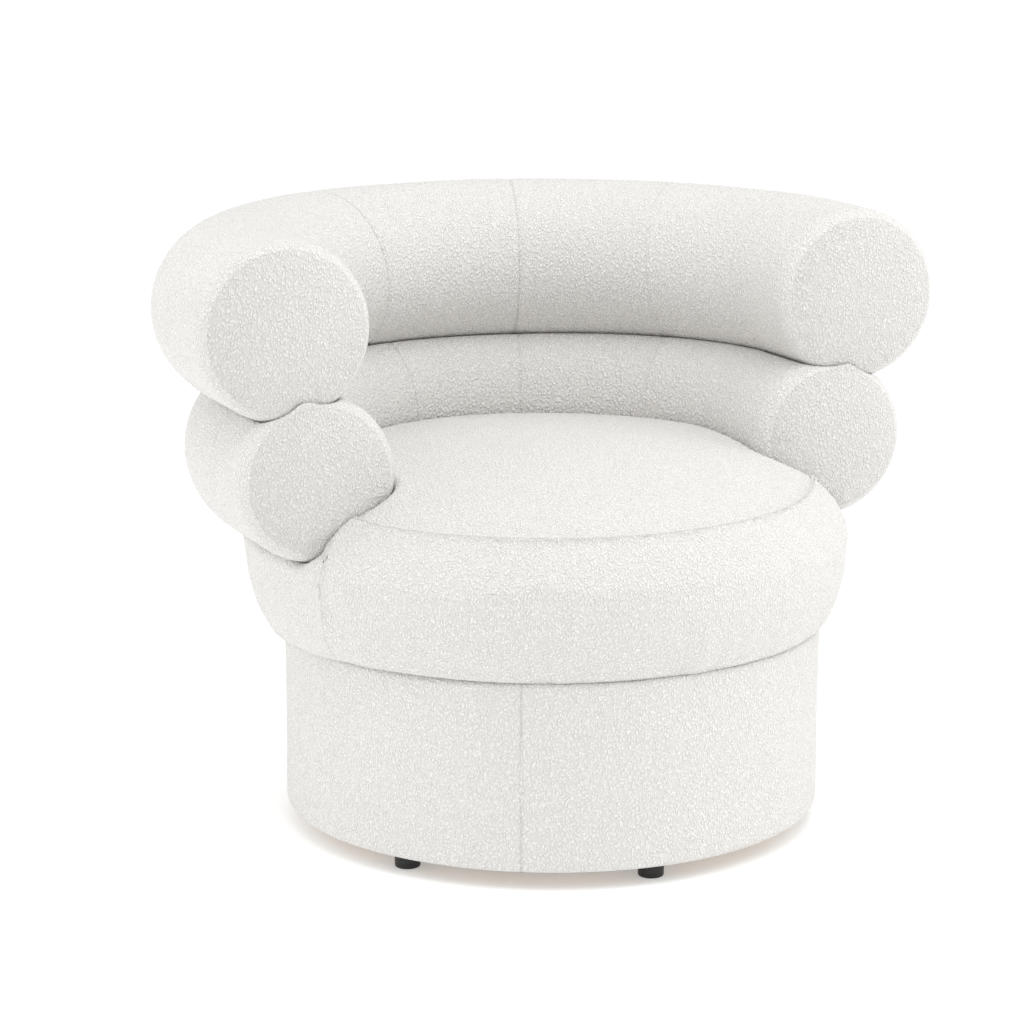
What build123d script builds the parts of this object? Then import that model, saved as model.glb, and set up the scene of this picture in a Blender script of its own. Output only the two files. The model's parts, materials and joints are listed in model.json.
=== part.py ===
# Swivel armchair: a round, upholstered seat with two stacked, U-shaped bolsters
# as back and arms, on a round upholstered drum base. Millimetres, +Z up, front at -Y.
from build123d import *
from math import cos, floor, radians, sin, sqrt
import os

os.makedirs("parts", exist_ok=True)

# ---------- driving dimensions ----------

# drum base
drum_radius = 300
drum_height = 206
drum_edge_round = 5
cover_thickness = 3
base_foam_thickness = 10
skin_thickness = 3
panel_thickness = 18
base_ring_inner_radius = 200
base_post_size = 40
base_post_circle = 245
base_post_count = 4
dust_cover_radius = 236
dust_cover_thickness = 1

# glides
glide_clearance_under_drum = 20
glide_radius = 14
glide_edge_round = 2.5
glide_circle = 262
glide_count = 6
glide_screw_recess_radius = 5.5
glide_screw_recess_depth = 12

# swivel bearing
swivel_height = 24
swivel_plate_size = 200
swivel_plate_thickness = 3
swivel_plate_corner = 12
swivel_screw_spacing = 160
swivel_gap = 2.5
race_radius = 70
race_width = 16
race_parting = 4
ball_radius = 5
ball_count = 24

# seat cushion, a turned shape whose axis lies behind the swivel axis
cushion_back_shift = 17
cushion_radius = 340
cushion_widest_height = 75
cushion_under_round = 33
cushion_crown_height = 210.5
crown_side_pull = 0.69
crown_top_pull = 0.565
cushion_hem_width = 44
cushion_seam_depth = 61

# seat frame inside the cushion
seat_panel_inset = 17
riser_height = 60
riser_size = 40
riser_circle = 228
riser_count = 4
seat_ring_outer_radius = 255
seat_ring_inner_radius = 200

# sinuous springs
spring_count = 5
spring_spacing = 72
spring_wire_radius = 1.75
spring_half_width = 20
spring_pitch = 30
spring_bend_radius = 13
spring_seat_on_ring = 14
clip_plate_thickness = 1.2
clip_plate_depth = 16
clip_width = 14
spring_pad_thickness = 2

# upper bolster: centre line of a U with parallel arms
upper_back_shift = 13
upper_radius = 339
upper_tube_radius = 96.5
upper_arm_length = 103
upper_end_round = 19
upper_above_seat = 350.5

# lower bolster
lower_back_shift = 36
lower_radius = 306
lower_tube_radius = 90
lower_arm_length = 131
lower_end_round = 24
lower_above_seat = 191.5

# steel hoops and posts inside the bolsters
hoop_tube_radius = 12.5
hoop_wall = 1.5
hoop_end_inset = 45
post_angles = [-85, -30, 30, 85]
post_foot_circle = 262
post_foot_length = 64
post_foot_width = 40
post_foot_thickness = 4
post_bolt_spacing = 46

# screws
screw_shank_radius = 2.5
screw_head_radius = 4.5
screw_head_height = 3
short_screw_length = 14
frame_screw_length = 50

# clearances
part_clearance = 0.2
screw_clearance = 0.1
weld_clearance = 0.1
ball_clearance = 0.05
race_clearance = 0.3
press_clearance = 1
pad_clearance = 0.5
frame_clearance = 2

# ---------- heights and reaches that follow ----------

drum_bottom = glide_clearance_under_drum
drum_top = drum_bottom + drum_height
ring_bottom = drum_bottom + cover_thickness
skin_top = drum_top - cover_thickness
foam_outer_radius = drum_radius - cover_thickness
foam_inset = cover_thickness + part_clearance
skin_outer_radius = foam_outer_radius - base_foam_thickness
skin_inner_radius = skin_outer_radius - skin_thickness
base_panel_radius = skin_inner_radius - part_clearance

seat_bottom = drum_top + swivel_gap
seat_panel_radius = cushion_radius - cushion_under_round - seat_panel_inset
upper_height = seat_bottom + upper_above_seat
lower_height = seat_bottom + lower_above_seat
seat_panel_bottom = seat_bottom + cover_thickness
seat_panel_top = seat_panel_bottom + panel_thickness
seat_ring_bottom = seat_panel_top + riser_height
seat_ring_top = seat_ring_bottom + panel_thickness
base_panel_top = seat_panel_bottom - swivel_height
base_panel_bottom = base_panel_top - panel_thickness
base_post_bottom = ring_bottom + panel_thickness

clip_curl_radius = spring_wire_radius + race_clearance + clip_plate_thickness
spring_height = seat_ring_top + clip_curl_radius
spring_pad_bottom = spring_height + clip_curl_radius + pad_clearance
frame_space_top = spring_pad_bottom + spring_pad_thickness + pad_clearance

# the part's origin is on the floor, below the middle of its overall depth
back_reach = upper_back_shift + upper_radius + upper_tube_radius
front_reach = cushion_radius - cushion_back_shift
swivel_y = (front_reach - back_reach) / 2
cushion_y = swivel_y + cushion_back_shift
upper_y = swivel_y + upper_back_shift
lower_y = swivel_y + lower_back_shift

# ---------- shared shapes ----------


def level(height, y=swivel_y):
    """A horizontal plane whose origin is on the axis at y."""
    return Plane((0, y, height))


def upright(y=swivel_y):
    """The plane across the chair at y: its x runs to the right and its y upwards."""
    return Plane.XZ.offset(-y)


def hoop_path(radius, y, arm_length, height):
    """The U of a bolster's centre line, from one arm's end to the other's."""
    with BuildLine(Plane.XY.offset(height)) as path:
        Line((-radius, y - arm_length), (-radius, y))
        ThreePointArc((-radius, y), (0, y + radius), (radius, y))
        Line((radius, y), (radius, y - arm_length))
    return path.line


def rod_along(path, radius, start, bore=0):
    """A round bar or tube that follows the path from its start point."""
    with BuildPart() as rod:
        with BuildSketch(Plane(start, x_dir=(1, 0, 0), z_dir=(0, 1, 0))):
            Circle(radius)
            if bore > 0:
                Circle(bore, mode=Mode.SUBTRACT)
        sweep(path=path)
    return rod.part


def straight_rod(start, end, radius, bore=0):
    """A round bar or tube from one point to another."""
    run = Vector(*end) - Vector(*start)
    with BuildPart() as rod:
        with BuildSketch(Plane(start, z_dir=run)):
            Circle(radius)
            if bore > 0:
                Circle(bore, mode=Mode.SUBTRACT)
        extrude(amount=run.length)
    return rod.part


def bolster_form(radius, y, arm_length, height, tube_radius, end_round, inset):
    """A bolster's round shape, inset all round."""
    end_y = y - arm_length + inset
    path = hoop_path(radius, y, arm_length - inset, height)
    with BuildPart() as form:
        add(rod_along(path, tube_radius - inset, (-radius, end_y, height)))
        ends = form.edges().filter_by(GeomType.CIRCLE).group_by(Axis.Y)[0]
        fillet(ends, end_round - inset)
    return form.part


def upper_form(inset):
    """The upper bolster's shape, which stays round."""
    return bolster_form(upper_radius, upper_y, upper_arm_length, upper_height,
                        upper_tube_radius, upper_end_round, inset)


def lower_form(inset):
    """The lower bolster's shape, with the hollow that the upper one presses into its top."""
    with BuildPart() as form:
        add(bolster_form(lower_radius, lower_y, lower_arm_length, lower_height,
                         lower_tube_radius, lower_end_round, inset))
        add(upper_form(-press_clearance - inset), mode=Mode.SUBTRACT)
    return form.part


def cushion_section(inset):
    """Half of the cushion's section, inset all round, as a flat face with its axis along Y."""
    radius = cushion_radius - inset
    widest = seat_bottom + cushion_widest_height
    rise = cushion_crown_height - cushion_widest_height - inset
    top = widest + rise
    under_middle = cushion_radius - cushion_under_round
    with BuildSketch() as section:
        with BuildLine():
            Bezier((radius, widest), (radius, widest + crown_side_pull * rise),
                   (crown_top_pull * radius, top), (0, top))
            Line((0, top), (0, seat_bottom + inset))
            Line((0, seat_bottom + inset), (under_middle, seat_bottom + inset))
            EllipticalCenterArc((under_middle, widest), radius - under_middle,
                                cushion_widest_height - inset, start_angle=270, arc_size=90)
        make_face()
    return section.sketch


def cushion_form(inset):
    """The turned cushion shape, inset all round."""
    with BuildPart() as form:
        with BuildSketch(upright(cushion_y)):
            add(cushion_section(inset))
        revolve(axis=Axis((0, cushion_y, 0), (0, 0, 1)))
    return form.part


def around(circle, count, first=0):
    """The places of pieces that stand evenly round the plane's origin."""
    return PolarLocations(circle, count, start_angle=first)


def post_points(angle):
    """Where a post stands on the seat panel, meets the lower hoop and meets the upper hoop."""
    side = sin(radians(angle))
    back = cos(radians(angle))
    foot_height = seat_panel_top + post_foot_thickness
    foot = (post_foot_circle * side, cushion_y + post_foot_circle * back, foot_height)
    middle = (lower_radius * side, lower_y + lower_radius * back, lower_height)
    top = (upper_radius * side, upper_y + upper_radius * back, upper_height)
    return foot, middle, top


def post_rods(radius):
    """Solid bars in the places of all posts and struts."""
    rods = []
    for angle in post_angles:
        foot, middle, top = post_points(angle)
        rods.append(straight_rod(foot, middle, radius))
        rods.append(straight_rod(middle, top, radius))
    return rods


def place_screws(length, count=1):
    """A pan-head screw at each current place: its head stands above the plane, its shank below."""
    Cylinder(screw_head_radius, screw_head_height, align=(Align.CENTER, Align.CENTER, Align.MIN))
    Cylinder(screw_shank_radius, length, align=(Align.CENTER, Align.CENTER, Align.MAX))


# ---------- drum base ----------

glide_height = ring_bottom
glide_first_angle = 270

for number in range(1, glide_count + 1):
    glide_angle = radians(glide_first_angle + (number - 1) * 360 / glide_count)
    glide_x = glide_circle * cos(glide_angle)
    glide_y = swivel_y + glide_circle * sin(glide_angle)
    with BuildPart(Plane((glide_x, glide_y, 0))) as glide:
        Cylinder(glide_radius, glide_height, align=(Align.CENTER, Align.CENTER, Align.MIN))
        fillet(glide.edges().group_by(Axis.Z)[0], glide_edge_round)
        Cylinder(glide_screw_recess_radius, glide_screw_recess_depth,
                 align=(Align.CENTER, Align.CENTER, Align.MIN), mode=Mode.SUBTRACT)
        Hole(screw_shank_radius + screw_clearance)
    glide.part.label = f"glide_{number}"
    export_step(glide.part, f"parts/glide_{number}.step")

glide_screw_plane = Plane((0, swivel_y, glide_screw_recess_depth), x_dir=(1, 0, 0), z_dir=(0, 0, -1))

with BuildPart(glide_screw_plane) as glide_screws:
    with around(glide_circle, glide_count, glide_first_angle):
        place_screws(short_screw_length + glide_height - glide_screw_recess_depth)
glide_screws.part.label = "glide_screws"
export_step(glide_screws.part, "parts/glide_screws.step")

base_post_first_angle = 45

with BuildPart(level(ring_bottom)) as base_bottom_ring:
    Cylinder(base_panel_radius, panel_thickness, align=(Align.CENTER, Align.CENTER, Align.MIN))
    Hole(base_ring_inner_radius)
    with around(glide_circle, glide_count, glide_first_angle):
        Hole(screw_shank_radius + screw_clearance)
    with around(base_post_circle, base_post_count, base_post_first_angle):
        Hole(screw_shank_radius + screw_clearance)
base_bottom_ring.part.label = "base_bottom_ring"
export_step(base_bottom_ring.part, "parts/base_bottom_ring.step")

with BuildPart(level(base_panel_bottom)) as base_top_panel:
    Cylinder(base_panel_radius, panel_thickness, align=(Align.CENTER, Align.CENTER, Align.MIN))
    with GridLocations(swivel_screw_spacing, swivel_screw_spacing, 2, 2):
        Hole(screw_shank_radius + screw_clearance)
    with around(base_post_circle, base_post_count, base_post_first_angle):
        Hole(screw_shank_radius + screw_clearance)
base_top_panel.part.label = "base_top_panel"
export_step(base_top_panel.part, "parts/base_top_panel.step")

base_post_height = base_panel_bottom - base_post_bottom

for number in range(1, base_post_count + 1):
    post_angle = base_post_first_angle + (number - 1) * 360 / base_post_count
    post_x = base_post_circle * cos(radians(post_angle))
    post_y = swivel_y + base_post_circle * sin(radians(post_angle))
    post_facing = (cos(radians(post_angle)), sin(radians(post_angle)), 0)
    with BuildPart(Plane((post_x, post_y, base_post_bottom), x_dir=post_facing)) as base_post:
        Box(base_post_size, base_post_size, base_post_height, align=(Align.CENTER, Align.CENTER, Align.MIN))
        Hole(screw_shank_radius + screw_clearance)
    base_post.part.label = f"base_post_{number}"
    export_step(base_post.part, f"parts/base_post_{number}.step")

with BuildPart() as base_frame_screws:
    with Locations(level(base_panel_top)):
        with around(base_post_circle, base_post_count, base_post_first_angle):
            place_screws(frame_screw_length)
    with Locations(Plane((0, swivel_y, ring_bottom), x_dir=(1, 0, 0), z_dir=(0, 0, -1))):
        with around(base_post_circle, base_post_count, base_post_first_angle):
            place_screws(frame_screw_length)
base_frame_screws.part.label = "base_frame_screws"
export_step(base_frame_screws.part, "parts/base_frame_screws.step")

wall_height = skin_top - ring_bottom

with BuildPart(level(ring_bottom)) as base_skin:
    Cylinder(skin_outer_radius, wall_height, align=(Align.CENTER, Align.CENTER, Align.MIN))
    Hole(skin_inner_radius)
base_skin.part.label = "base_skin"
export_step(base_skin.part, "parts/base_skin.step")

with BuildPart(level(ring_bottom)) as base_foam:
    Cylinder(foam_outer_radius - part_clearance, wall_height, align=(Align.CENTER, Align.CENTER, Align.MIN))
    Hole(skin_outer_radius + part_clearance)
base_foam.part.label = "base_foam"
export_step(base_foam.part, "parts/base_foam.step")

bottom_hem_inner_radius = glide_circle + glide_radius + frame_clearance

with BuildPart(level(drum_bottom)) as base_cover:
    Cylinder(drum_radius, drum_height, align=(Align.CENTER, Align.CENTER, Align.MIN))
    fillet(base_cover.edges().filter_by(GeomType.CIRCLE), drum_edge_round)
    with Locations((0, 0, cover_thickness)):
        Cylinder(foam_outer_radius, wall_height, align=(Align.CENTER, Align.CENTER, Align.MIN),
                 mode=Mode.SUBTRACT)
    Cylinder(bottom_hem_inner_radius, cover_thickness, align=(Align.CENTER, Align.CENTER, Align.MIN),
             mode=Mode.SUBTRACT)
    with Locations((0, 0, drum_height)):
        Cylinder(skin_inner_radius, cover_thickness, align=(Align.CENTER, Align.CENTER, Align.MAX),
                 mode=Mode.SUBTRACT)
base_cover.part.label = "base_cover"
export_step(base_cover.part, "parts/base_cover.step")

with BuildPart(level(ring_bottom)) as dust_cover:
    Cylinder(dust_cover_radius, dust_cover_thickness, align=(Align.CENTER, Align.CENTER, Align.MAX))
dust_cover.part.label = "dust_cover"
export_step(dust_cover.part, "parts/dust_cover.step")

# ---------- swivel bearing ----------

ball_height = base_panel_top + swivel_height / 2
race_ring_height = (swivel_height - race_parting) / 2 - swivel_plate_thickness


def swivel_plate(plane, ball_space):
    """A square plate with a grooved race ring standing on it, in the plane's direction."""
    with BuildPart(plane) as plate:
        with BuildSketch(plane):
            RectangleRounded(swivel_plate_size, swivel_plate_size, swivel_plate_corner)
            with GridLocations(swivel_screw_spacing, swivel_screw_spacing, 2, 2):
                Circle(screw_shank_radius + screw_clearance, mode=Mode.SUBTRACT)
        extrude(amount=swivel_plate_thickness)
        with BuildSketch(plane.offset(swivel_plate_thickness)):
            Circle(race_radius + race_width / 2)
            Circle(race_radius - race_width / 2, mode=Mode.SUBTRACT)
        extrude(amount=race_ring_height)
        with Locations((0, 0, swivel_height / 2)):
            Torus(race_radius, ball_radius + ball_space, mode=Mode.SUBTRACT)
    return plate


swivel_lower_plate = swivel_plate(level(base_panel_top), ball_clearance)
swivel_lower_plate.part.label = "swivel_lower_plate"
export_step(swivel_lower_plate.part, "parts/swivel_lower_plate.step")

seat_underside = Plane((0, swivel_y, seat_panel_bottom), x_dir=(1, 0, 0), z_dir=(0, 0, -1))
swivel_upper_plate = swivel_plate(seat_underside, race_clearance)
swivel_upper_plate.part.label = "swivel_upper_plate"
export_step(swivel_upper_plate.part, "parts/swivel_upper_plate.step")

with BuildPart(level(ball_height)) as swivel_balls:
    with around(race_radius, ball_count):
        Sphere(ball_radius)
swivel_balls.part.label = "swivel_balls"
export_step(swivel_balls.part, "parts/swivel_balls.step")

with BuildPart(level(base_panel_top + swivel_plate_thickness)) as swivel_base_screws:
    with GridLocations(swivel_screw_spacing, swivel_screw_spacing, 2, 2):
        place_screws(short_screw_length)
swivel_base_screws.part.label = "swivel_base_screws"
export_step(swivel_base_screws.part, "parts/swivel_base_screws.step")

with BuildPart(seat_underside.offset(swivel_plate_thickness)) as swivel_seat_screws:
    with GridLocations(swivel_screw_spacing, swivel_screw_spacing, 2, 2):
        place_screws(short_screw_length)
swivel_seat_screws.part.label = "swivel_seat_screws"
export_step(swivel_seat_screws.part, "parts/swivel_seat_screws.step")

# ---------- seat frame ----------

riser_first_angle = 45

with BuildPart(level(seat_panel_bottom, cushion_y)) as seat_panel:
    Cylinder(seat_panel_radius, panel_thickness, align=(Align.CENTER, Align.CENTER, Align.MIN))
    with Locations((0, swivel_y - cushion_y, 0)):
        with GridLocations(swivel_screw_spacing, swivel_screw_spacing, 2, 2):
            Hole(screw_shank_radius + screw_clearance)
    with around(riser_circle, riser_count, riser_first_angle):
        Hole(screw_shank_radius + screw_clearance)
    for angle in post_angles:
        for side in (-1, 1):
            with around(post_foot_circle, 1, 90 - angle):
                with Locations((0, side * post_bolt_spacing / 2, 0)):
                    Hole(screw_shank_radius + screw_clearance)
seat_panel.part.label = "seat_panel"
export_step(seat_panel.part, "parts/seat_panel.step")

for number in range(1, riser_count + 1):
    riser_angle = riser_first_angle + (number - 1) * 360 / riser_count
    riser_x = riser_circle * cos(radians(riser_angle))
    riser_y = cushion_y + riser_circle * sin(radians(riser_angle))
    riser_facing = (cos(radians(riser_angle)), sin(radians(riser_angle)), 0)
    with BuildPart(Plane((riser_x, riser_y, seat_panel_top), x_dir=riser_facing)) as seat_riser:
        Box(riser_size, riser_size, riser_height, align=(Align.CENTER, Align.CENTER, Align.MIN))
        Hole(screw_shank_radius + screw_clearance)
    seat_riser.part.label = f"seat_riser_{number}"
    export_step(seat_riser.part, f"parts/seat_riser_{number}.step")

with BuildPart(level(seat_ring_bottom, cushion_y)) as seat_ring:
    Cylinder(seat_ring_outer_radius, panel_thickness, align=(Align.CENTER, Align.CENTER, Align.MIN))
    Hole(seat_ring_inner_radius)
    with around(riser_circle, riser_count, riser_first_angle):
        Hole(screw_shank_radius + screw_clearance)
seat_ring.part.label = "seat_ring"
export_step(seat_ring.part, "parts/seat_ring.step")

riser_screw_length = panel_thickness + riser_height / 2 - frame_clearance

with BuildPart() as seat_frame_screws:
    with Locations(level(seat_ring_top, cushion_y)):
        with around(riser_circle, riser_count, riser_first_angle):
            place_screws(riser_screw_length)
    with Locations(Plane((0, cushion_y, seat_panel_bottom), x_dir=(1, 0, 0), z_dir=(0, 0, -1))):
        with around(riser_circle, riser_count, riser_first_angle):
            place_screws(riser_screw_length)
seat_frame_screws.part.label = "seat_frame_screws"
export_step(seat_frame_screws.part, "parts/seat_frame_screws.step")

# ---------- springs ----------

clip_places = []

for number in range(1, spring_count + 1):
    spring_x = (number - (spring_count + 1) / 2) * spring_spacing
    farthest_side = abs(spring_x) + spring_half_width
    half_chord = sqrt(seat_ring_inner_radius ** 2 - farthest_side ** 2) + spring_seat_on_ring
    turns = floor(2 * half_chord / spring_pitch)
    pitch = 2 * half_chord / turns
    corners = []
    side = -1
    for turn in range(turns + 1):
        along = cushion_y - half_chord + turn * pitch
        corners.append((spring_x + side * spring_half_width, along))
        corners.append((spring_x - side * spring_half_width, along))
        side = -side
    with BuildPart() as spring:
        with BuildLine(Plane.XY.offset(spring_height)) as wire:
            FilletPolyline(*corners, radius=spring_bend_radius)
        with BuildSketch(Plane((*corners[0], spring_height), x_dir=(0, 1, 0), z_dir=(1, 0, 0))):
            Circle(spring_wire_radius)
        sweep(path=wire.line)
    spring.part.label = f"spring_{number}"
    export_step(spring.part, f"parts/spring_{number}.step")
    clip_places.append((spring_x, cushion_y - half_chord, -1))
    clip_places.append((spring_x, cushion_y + half_chord, 1))

with BuildPart() as spring_clips:
    for clip_x, clip_y, outwards in clip_places:
        with BuildSketch(Plane((clip_x - clip_width / 2, clip_y, seat_ring_top), x_dir=(0, outwards, 0),
                               z_dir=(outwards, 0, 0))) as clip_profile:
            with Locations((0, clip_curl_radius)):
                Circle(clip_curl_radius)
            Rectangle(clip_plate_depth, clip_plate_thickness, align=(Align.MIN, Align.MIN))
            with Locations((0, clip_curl_radius)):
                Circle(clip_curl_radius - clip_plate_thickness, mode=Mode.SUBTRACT)
        extrude(amount=outwards * clip_width)
spring_clips.part.label = "spring_clips"
export_step(spring_clips.part, "parts/spring_clips.step")

# the pad is trimmed where the lower bolster presses down beside it
with BuildPart() as spring_pad:
    with Locations(level(spring_pad_bottom, cushion_y)):
        Cylinder(seat_ring_outer_radius, spring_pad_thickness, align=(Align.CENTER, Align.CENTER, Align.MIN))
    add(lower_form(-press_clearance - foam_inset), mode=Mode.SUBTRACT)
spring_pad.part.label = "spring_pad"
export_step(spring_pad.part, "parts/spring_pad.step")

# ---------- hoops and posts ----------

upper_hoop_path = hoop_path(upper_radius, upper_y, upper_arm_length - hoop_end_inset, upper_height)
lower_hoop_path = hoop_path(lower_radius, lower_y, lower_arm_length - hoop_end_inset, lower_height)
upper_hoop_start = (-upper_radius, upper_y - upper_arm_length + hoop_end_inset, upper_height)
lower_hoop_start = (-lower_radius, lower_y - lower_arm_length + hoop_end_inset, lower_height)
hoop_bore = hoop_tube_radius - hoop_wall

with BuildPart() as upper_hoop:
    add(rod_along(upper_hoop_path, hoop_tube_radius, upper_hoop_start, hoop_bore))
upper_hoop.part.label = "upper_hoop"
export_step(upper_hoop.part, "parts/upper_hoop.step")

with BuildPart() as lower_hoop:
    add(rod_along(lower_hoop_path, hoop_tube_radius, lower_hoop_start, hoop_bore))
lower_hoop.part.label = "lower_hoop"
export_step(lower_hoop.part, "parts/lower_hoop.step")

upper_hoop_space = rod_along(upper_hoop_path, hoop_tube_radius + weld_clearance, upper_hoop_start)
lower_hoop_space = rod_along(lower_hoop_path, hoop_tube_radius + weld_clearance, lower_hoop_start)

for number, angle in enumerate(post_angles, start=1):
    foot, middle, top = post_points(angle)
    lean = Vector(*middle) - Vector(*foot)
    below_foot = Vector(*foot) - lean.normalized() * 2 * hoop_tube_radius
    foot_plane = Plane(foot, x_dir=(sin(radians(angle)), cos(radians(angle)), 0))
    with BuildPart() as back_post:
        add(straight_rod(tuple(below_foot), middle, hoop_tube_radius, hoop_bore))
        with Locations(foot_plane):
            Box(post_foot_length, post_foot_length, post_foot_length,
                align=(Align.CENTER, Align.CENTER, Align.MAX), mode=Mode.SUBTRACT)
            Box(post_foot_width, post_foot_length, post_foot_thickness,
                align=(Align.CENTER, Align.CENTER, Align.MAX))
            with GridLocations(0, post_bolt_spacing, 1, 2):
                Cylinder(screw_shank_radius + screw_clearance, 2 * post_foot_thickness, mode=Mode.SUBTRACT)
        add(lower_hoop_space, mode=Mode.SUBTRACT)
    back_post.part.label = f"back_post_{number}"
    export_step(back_post.part, f"parts/back_post_{number}.step")
    with BuildPart() as back_strut:
        add(straight_rod(middle, top, hoop_tube_radius, hoop_bore))
        add(lower_hoop_space, mode=Mode.SUBTRACT)
        add(upper_hoop_space, mode=Mode.SUBTRACT)
    back_strut.part.label = f"back_strut_{number}"
    export_step(back_strut.part, f"parts/back_strut_{number}.step")

with BuildPart(level(seat_panel_top + post_foot_thickness, cushion_y)) as post_screws:
    for angle in post_angles:
        with around(post_foot_circle, 1, 90 - angle):
            with GridLocations(0, post_bolt_spacing, 1, 2):
                place_screws(short_screw_length)
post_screws.part.label = "post_screws"
export_step(post_screws.part, "parts/post_screws.step")

# ---------- seat cushion ----------

rod_spaces = post_rods(hoop_tube_radius + press_clearance)
post_foot_space_height = screw_head_height + post_foot_thickness + press_clearance
seam_height = seat_bottom + cushion_crown_height - cushion_seam_depth

with BuildPart() as seat_foam:
    add(cushion_form(foam_inset))
    add(lower_form(-press_clearance - foam_inset), mode=Mode.SUBTRACT)
    with Locations(level(seat_bottom, cushion_y)):
        Cylinder(seat_ring_outer_radius + frame_clearance, frame_space_top - seat_bottom,
                 align=(Align.CENTER, Align.CENTER, Align.MIN), mode=Mode.SUBTRACT)
        Cylinder(seat_panel_radius + part_clearance, seat_panel_top - seat_bottom + part_clearance,
                 align=(Align.CENTER, Align.CENTER, Align.MIN), mode=Mode.SUBTRACT)
    with Locations(level(seat_panel_top, cushion_y)):
        for angle in post_angles:
            with around(post_foot_circle, 1, 90 - angle):
                Box(post_foot_width + frame_clearance, post_foot_length + frame_clearance,
                    post_foot_space_height, align=(Align.CENTER, Align.CENTER, Align.MIN),
                    mode=Mode.SUBTRACT)
    for rod_space in rod_spaces:
        add(rod_space, mode=Mode.SUBTRACT)
seat_foam.part.label = "seat_foam"
export_step(seat_foam.part, "parts/seat_foam.step")

# the cushion's cover also lines the groove that the lower bolster presses into it
with BuildPart() as groove_lining:
    add(cushion_form(cover_thickness / 2))
    add(lower_form(-press_clearance - cover_thickness), mode=Mode.INTERSECT)
    add(lower_form(-press_clearance), mode=Mode.SUBTRACT)

with BuildPart() as cushion_shell:
    with BuildSketch(upright(cushion_y)):
        add(cushion_section(0))
        add(cushion_section(cover_thickness), mode=Mode.SUBTRACT)
    revolve(axis=Axis((0, cushion_y, 0), (0, 0, 1)))
    add(lower_form(-press_clearance), mode=Mode.SUBTRACT)
    add(groove_lining.part)
    with Locations(level(seat_bottom, cushion_y)):
        Cylinder(cushion_radius - cushion_under_round - cushion_hem_width, cover_thickness,
                 align=(Align.CENTER, Align.CENTER, Align.MIN), mode=Mode.SUBTRACT)
    for rod_space in rod_spaces:
        add(rod_space, mode=Mode.SUBTRACT)

with BuildPart() as seat_cover_top:
    add(cushion_shell.part)
    split(bisect_by=level(seam_height), keep=Keep.TOP)
seat_cover_top.part.label = "seat_cover_top"
export_step(seat_cover_top.part, "parts/seat_cover_top.step")

with BuildPart() as seat_cover_band:
    add(cushion_shell.part)
    split(bisect_by=level(seam_height), keep=Keep.BOTTOM)
seat_cover_band.part.label = "seat_cover_band"
export_step(seat_cover_band.part, "parts/seat_cover_band.step")

# ---------- bolsters ----------

bolsters = {
    "upper": (upper_form, upper_hoop_space, upper_radius, upper_y - upper_arm_length,
              upper_height, upper_tube_radius - upper_end_round),
    "lower": (lower_form, lower_hoop_space, lower_radius, lower_y - lower_arm_length,
              lower_height, lower_tube_radius - lower_end_round),
}

for level_name, (form, hoop_space, radius, end_y, height, face_radius) in bolsters.items():
    with BuildPart() as bolster_foam:
        add(form(foam_inset))
        add(hoop_space, mode=Mode.SUBTRACT)
        for rod_space in rod_spaces:
            add(rod_space, mode=Mode.SUBTRACT)
    bolster_foam.part.label = f"{level_name}_bolster_foam"
    export_step(bolster_foam.part, f"parts/{level_name}_bolster_foam.step")

    with BuildPart() as bolster_cover:
        add(form(0))
        add(form(cover_thickness), mode=Mode.SUBTRACT)
        with Locations(Plane((-radius, end_y, height), z_dir=(0, 1, 0)),
                       Plane((radius, end_y, height), z_dir=(0, 1, 0))):
            Cylinder(face_radius, cover_thickness, align=(Align.CENTER, Align.CENTER, Align.MIN),
                     mode=Mode.SUBTRACT)
        for rod_space in rod_spaces:
            add(rod_space, mode=Mode.SUBTRACT)
    bolster_cover.part.label = f"{level_name}_bolster_cover"
    export_step(bolster_cover.part, f"parts/{level_name}_bolster_cover.step")

    for side_name, side in (("left", 1), ("right", -1)):
        with BuildPart(Plane((side * radius, end_y, height), z_dir=(0, 1, 0))) as end_cap:
            Cylinder(face_radius - part_clearance, cover_thickness,
                     align=(Align.CENTER, Align.CENTER, Align.MIN))
        end_cap.part.label = f"{level_name}_bolster_end_cap_{side_name}"
        export_step(end_cap.part, f"parts/{level_name}_bolster_end_cap_{side_name}.step")
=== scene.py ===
import bpy
import json
import numpy as np
from math import cos, pi, radians, sin, tau
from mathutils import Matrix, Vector


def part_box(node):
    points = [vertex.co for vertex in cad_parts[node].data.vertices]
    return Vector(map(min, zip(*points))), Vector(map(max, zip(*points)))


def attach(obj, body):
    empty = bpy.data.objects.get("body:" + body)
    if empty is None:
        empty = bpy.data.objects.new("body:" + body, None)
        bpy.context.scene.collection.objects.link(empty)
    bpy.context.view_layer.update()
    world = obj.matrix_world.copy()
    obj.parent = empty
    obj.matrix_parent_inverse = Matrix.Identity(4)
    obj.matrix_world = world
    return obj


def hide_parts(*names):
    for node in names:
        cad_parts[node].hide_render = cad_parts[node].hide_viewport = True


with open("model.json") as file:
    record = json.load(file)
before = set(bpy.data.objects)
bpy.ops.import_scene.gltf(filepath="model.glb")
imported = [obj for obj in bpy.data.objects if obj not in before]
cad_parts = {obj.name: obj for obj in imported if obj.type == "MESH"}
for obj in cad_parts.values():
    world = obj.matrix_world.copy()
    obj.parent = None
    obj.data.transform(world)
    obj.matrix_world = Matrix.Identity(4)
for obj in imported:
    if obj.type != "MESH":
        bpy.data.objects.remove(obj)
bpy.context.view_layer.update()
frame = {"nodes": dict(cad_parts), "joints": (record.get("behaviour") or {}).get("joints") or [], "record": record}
print("frame loaded:", len(frame["nodes"]), "nodes")

mm = 0.001
scene = bpy.context.scene
swivel = frame["joints"][0]["pos_m"]

# camera, floor and light

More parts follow.
